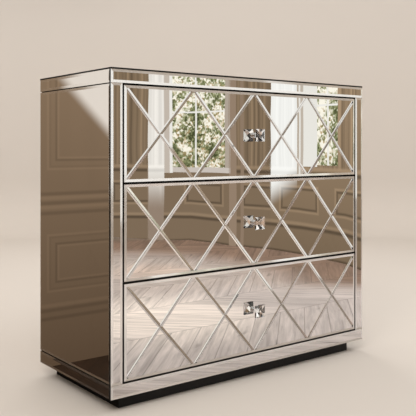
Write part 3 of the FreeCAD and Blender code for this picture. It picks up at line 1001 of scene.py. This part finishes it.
def makeGardenWindow():
    # leaves and sky behind white glazing bars
    given = shaderGroup("gardenWindow", {
        "Along": "Float", "Up": "Float", "Upright": "Float", "Crossbar": 0.87, "Open": "Float",
        **dict.fromkeys(gardenColours, "Color")}, {"Color": "Color"})
    spot = combined(given["Along"], given["Up"], 0.0)
    cells = addNode("ShaderNodeTexVoronoi", {"Vector": spot, "Scale": 75.0, "Randomness": 1.0})
    leaves = separated(cells["Color"])
    masses = noise(spot, 9.0, 3.0, 0.6)
    lit = leaves["X"] * 0.2 + masses * 0.76 + (given["Open"] + ranged(given["Up"], 0.6, 1.1, -0.02, 0.07))
    turning = ranged(leaves["Y"] * ranged(masses, 0.35, 0.6), 0.3, 0.6)
    leaf = mixColour(turning, given["Leaf"], given["Autumn"])
    green = mixColour(ranged(lit, 0.36, 0.52), given["Shade"], leaf)
    garden = mixColour(ranged(lit, 0.49, 0.6), green, given["Sky"])
    upright = ranged(abs(given["Along"] - given["Upright"]), 0.01, 0.006)
    crossbar = ranged(abs(given["Up"] - given["Crossbar"]), 0.007, 0.004)
    return endTree({"Color": mixColour(calc("MAXIMUM", upright, crossbar), garden, given["Bar"])})


wainscot = {"wall": makeWainscot("front wainscot", frontRelief),
            "side": makeWainscot("side wainscot", sideRelief)}
gardenWindow = makeGardenWindow()


# relief sets how strong the painted shade and highlight of the mouldings are
def cardMaterial(name, look, fade=None, relief=0.38):
    # fade: the heights where a card starts and is full, and how much these change along it
    pattern, *values = look
    material, place = newMaterial(name)
    tree = material.node_tree
    tree.nodes.remove(tree.nodes["Principled BSDF"])
    uv = separated(place["UV"])
    spot = {"Along": uv["X"], "Up": uv["Y"]}
    if pattern in wainscot:
        walls = {"Low": values[0], "High": values[-1], "Relief Shading": relief}
        look = useGroup(wainscot[pattern], {**spot, **walls})["Color"]
    elif pattern == "garden":
        garden = {"Upright": values[0], "Open": values[1], **gardenColours}
        look = useGroup(gardenWindow, {**spot, **garden})["Color"]
    # the card glows as a painted reflection, seen only by mirrors and crystal
    glow = addNode("ShaderNodeEmission", {"Color": look, "Strength": 1.0})["Emission"]
    if fade:
        start, full, slant = fade
        share = ranged(uv["X"] * slant + uv["Y"], start, full, smooth=True)
        clear = addNode("ShaderNodeBsdfTransparent")["BSDF"]
        glow = addNode("ShaderNodeMixShader", {0: share, 1: clear, 2: glow})["Shader"]
    feed(glow, tree.nodes["Material Output"].inputs["Surface"])
    return material


def hideFrom(item, *rays):
    for ray in rays:
        setattr(item, "visible_" + ray, False)


def makeCard(name, look, low, high, line, **finish):
    # upright card along a line of floor points, its UV in metres along and up
    verts, faces, along = [], [], [0.0]
    for x, y in line:
        verts += [(x, y, low), (x, y, high)]
    for i in range(len(line) - 1):
        faces.append((2 * i, 2 * i + 2, 2 * i + 3, 2 * i + 1))
        along.append(along[-1] + math.dist(line[i], line[i + 1]))
    mesh = bpy.data.meshes.new(name)
    mesh.from_pydata(verts, [], faces)
    layer = mesh.uv_layers.new(name="UVMap")
    for loop in mesh.loops:
        index = loop.vertex_index
        layer.data[loop.index].uv = (along[index // 2], high if index % 2 else low)
    mesh.materials.append(cardMaterial(name, look, **finish))
    card = addObject(name, mesh)
    hideFrom(card, "camera", "diffuse", "shadow", "volume_scatter")
    card.visible_transmission = name in crystalCards


def arc(fromDegrees, toDegrees, radius, steps=12):
    # azimuth from straight ahead of the chest, towards its right
    turns = [math.radians(fromDegrees + (toDegrees - fromDegrees) * i / steps) for i in range(steps + 1)]
    return [(radius * math.sin(a), -radius * math.cos(a)) for a in turns]


def nearer(*line, share=0.995):
    # a line of floor points drawn a little towards the chest, to stand before the wall
    return [(x * share, y * share) for x, y in line]


wallTop, jambFoot, sillTop = 1.18, 0.46, 0.5
brownWall = ("wall", rgb(0.236, 0.169, 0.112), rgb(0.252, 0.18, 0.114))
paleWall = ("wall", rgb(0.25, 0.178, 0.116), rgb(0.36, 0.27, 0.192))
warmWall = ("wall", rgb(0.218, 0.155, 0.1), rgb(0.352, 0.252, 0.16))
whiteWall = ("wall", rgb(0.93, 0.9, 0.85))
doorWhite = ("wall", rgb(1.03, 1.04, 1.02))
# painted shade: the wall beside the chest in shadow, darker towards the floor
shadedSideWall = ("side", rgb(0.108, 0.069, 0.042), rgb(0.264, 0.181, 0.115))
farCorner, leftCorner, doorCorner = (1.13, -3.05), (1.67, -2.31), (1.742, -2.0)
leftBay = (1.62, -2.67)
leftLine = [farCorner, (1.39, -2.85), leftBay, leftCorner, doorCorner]
rightLine = [doorCorner, (1.75, -1.75), (1.68, -1.34), (1.62, -1.22), (1.5, -0.95)]
leftJamb, leftBead, leftPane, leftEdge = (1.475, -2.786), (1.505, -2.763), (1.521, -2.751), (1.664, -2.355)
doorEnd, doorEdge, doorBead, doorJamb = (1.749, -1.775), (1.748, -1.76), (1.747, -1.744), (1.745, -1.72)
rightPane = (1.723, -1.589)
cards = {
    # look (a colour, or a pattern with its values), lower edge, upper edge and floor line of each card
    "far_left_wall": (paleWall, 0.0, wallTop, [(0.3, -3.3), farCorner]),
    "left_wall": (brownWall, 0.0, wallTop, leftLine),
    "right_wall": (warmWall, 0.0, wallTop, rightLine),
    "left_post": (rgb(0.34, 0.26, 0.2), 0.0, sillTop, nearer((1.387, -2.852), leftJamb)),
    "left_light": (whiteWall, 0.2, wallTop, nearer((1.39, -2.85), leftJamb, share=0.99)),
    "left_jamb": (rgb(0.62, 0.55, 0.48), jambFoot, wallTop, nearer(leftJamb, leftBead)),
    "left_bead": (rgb(0.96, 0.94, 0.9), jambFoot, wallTop, nearer(leftBead, leftPane)),
    "left_garden": (("garden", 0.1755, 0.0), sillTop, wallTop, nearer(leftPane, leftBay, leftEdge)),
    "left_sill": (rgb(0.68, 0.62, 0.57), 0.465, sillTop, nearer(leftPane, leftBay, leftCorner)),
    "left_edge": (rgb(0.5, 0.43, 0.36), sillTop, wallTop, nearer(leftEdge, leftCorner)),
    "middle_post": (rgb(0.34, 0.25, 0.18), 0.0, wallTop, nearer((1.668, -2.32), (1.684, -2.265))),
    "middle_bead": (rgb(0.31, 0.225, 0.16), 0.0, wallTop, nearer((1.693, -2.235), (1.7, -2.21))),
    "door_light": (doorWhite, 0.12, wallTop, nearer(doorCorner, doorEnd)),
    "door_edge": (rgb(0.52, 0.44, 0.35), jambFoot, wallTop, nearer(doorEnd, doorEdge)),
    "door_bead": (rgb(0.9, 0.88, 0.83), jambFoot, wallTop, nearer(doorEdge, doorBead)),
    "door_jamb": (rgb(0.6, 0.53, 0.45), jambFoot, wallTop, nearer(doorBead, doorJamb)),
    "right_light": (rgb(0.93, 0.92, 0.87), 0.52, wallTop, nearer(doorJamb, rightPane)),
    "right_garden": (("garden", 0.1016, 0.055), 0.53, wallTop, nearer(rightPane, (1.69, -1.4))),
    # painted reflections: glowing cards in the shape of soft boxes that light nothing
    "left_soft_box": (rgb(0.95, 0.93, 0.89), 0.16, 1.4, arc(-20, 17, 3.0)),
    "right_soft_box": (rgb(0.9, 0.88, 0.84), 0.3, 1.4, arc(57, 88, 3.0)),
    "upper_soft_box": (rgb(0.98, 0.97, 0.94), 1.22, 3.0, arc(-20, 88, 3.15)),
    # painted shade on the card that the side mirrors show
    "shaded_side_wall": (shadedSideWall, 0.0, 1.1, [(-0.46, 0.26), (-0.95, 0.26)]),
    "side_light": (rgb(0.85, 0.775, 0.7), 0.3, 1.1, [(-0.46, 0.255), (-0.95, 0.255)]),
}
crystalCards = ("door_light",)      # the cards that cut crystal shows
# fade gives a soft edge; relief is the strength of the painted moulding shade and highlight
cardFinish = {
    "left_light": {"fade": (0.2, 0.5, 0.0), "relief": 0.12},
    "door_light": {"fade": (0.25, 0.42, -0.55), "relief": 0.06},
    "shaded_side_wall": {"relief": 0.16},
    "side_light": {"fade": (0.885, 0.945, 1.0)},
}
lamps = {
    # place, target, size, power and colour
    "key": ((-2.3, -2.0, 3.0), (0.0, 0.0, 0.3), (2.2, 1.6), 75.0, (1.0, 0.965, 0.92)),
    "fill": ((2.4, -1.6, 2.8), (0.0, 0.0, 0.4), (2.0, 1.6), 35.0, (0.97, 0.98, 1.0)),
    "back": ((0.6, 2.4, 2.9), (0.0, 0.0, 0.4), (2.4, 1.4), 40.0, (1.0, 0.98, 0.95)),
}


def makeLamp(name, place, target, size, power, colour):
    data = bpy.data.lights.new(name, "AREA")
    data.shape = "RECTANGLE"
    data.size, data.size_y = size
    data.energy = power
    data.color = colour
    lamp = addObject(name, data)
    lamp.location = place
    lamp.rotation_euler = (Vector(target) - Vector(place)).to_track_quat("-Z", "Y").to_euler()
    hideFrom(lamp, "camera", "glossy", "transmission")


def makeSky():
    world = bpy.data.worlds.new("studio sky")
    world.use_nodes = True
    building["tree"] = world.node_tree
    background = world.node_tree.nodes["Background"]
    feed(studio["skyColour"], background.inputs["Color"])
    throughCrystal = addNode("ShaderNodeLightPath")["Is Transmission Ray"]
    strength = ranged(throughCrystal, 0.0, 1.0, studio["skyStrength"], studio["crystalSky"])
    feed(strength, background.inputs["Strength"])
    bpy.context.scene.world = world


makeStudioShell()
for name, settings in cards.items():
    makeCard(name, *settings, **cardFinish.get(name, {}))
for name, settings in lamps.items():
    makeLamp(name, *settings)
makeSky()
print("studio set up")


# camera

view = {
    "place": (-1.31701, -1.67333, 0.63397),
    "turn": 0.6593,         # from straight ahead, towards the right
    "lens": 62.69,
    "sensor": 36.0,
    "shiftY": -0.1462,
}
cameraData = bpy.data.cameras.new("camera")
cameraData.lens = view["lens"]
cameraData.sensor_width = view["sensor"]
cameraData.shift_y = view["shiftY"]
camera = addObject("camera", cameraData)
camera.location = view["place"]
camera.rotation_euler = (quarterTurn, 0.0, -view["turn"])
bpy.context.scene.camera = camera
bpy.context.scene.view_settings.view_transform = "Standard"

print("scene ready")
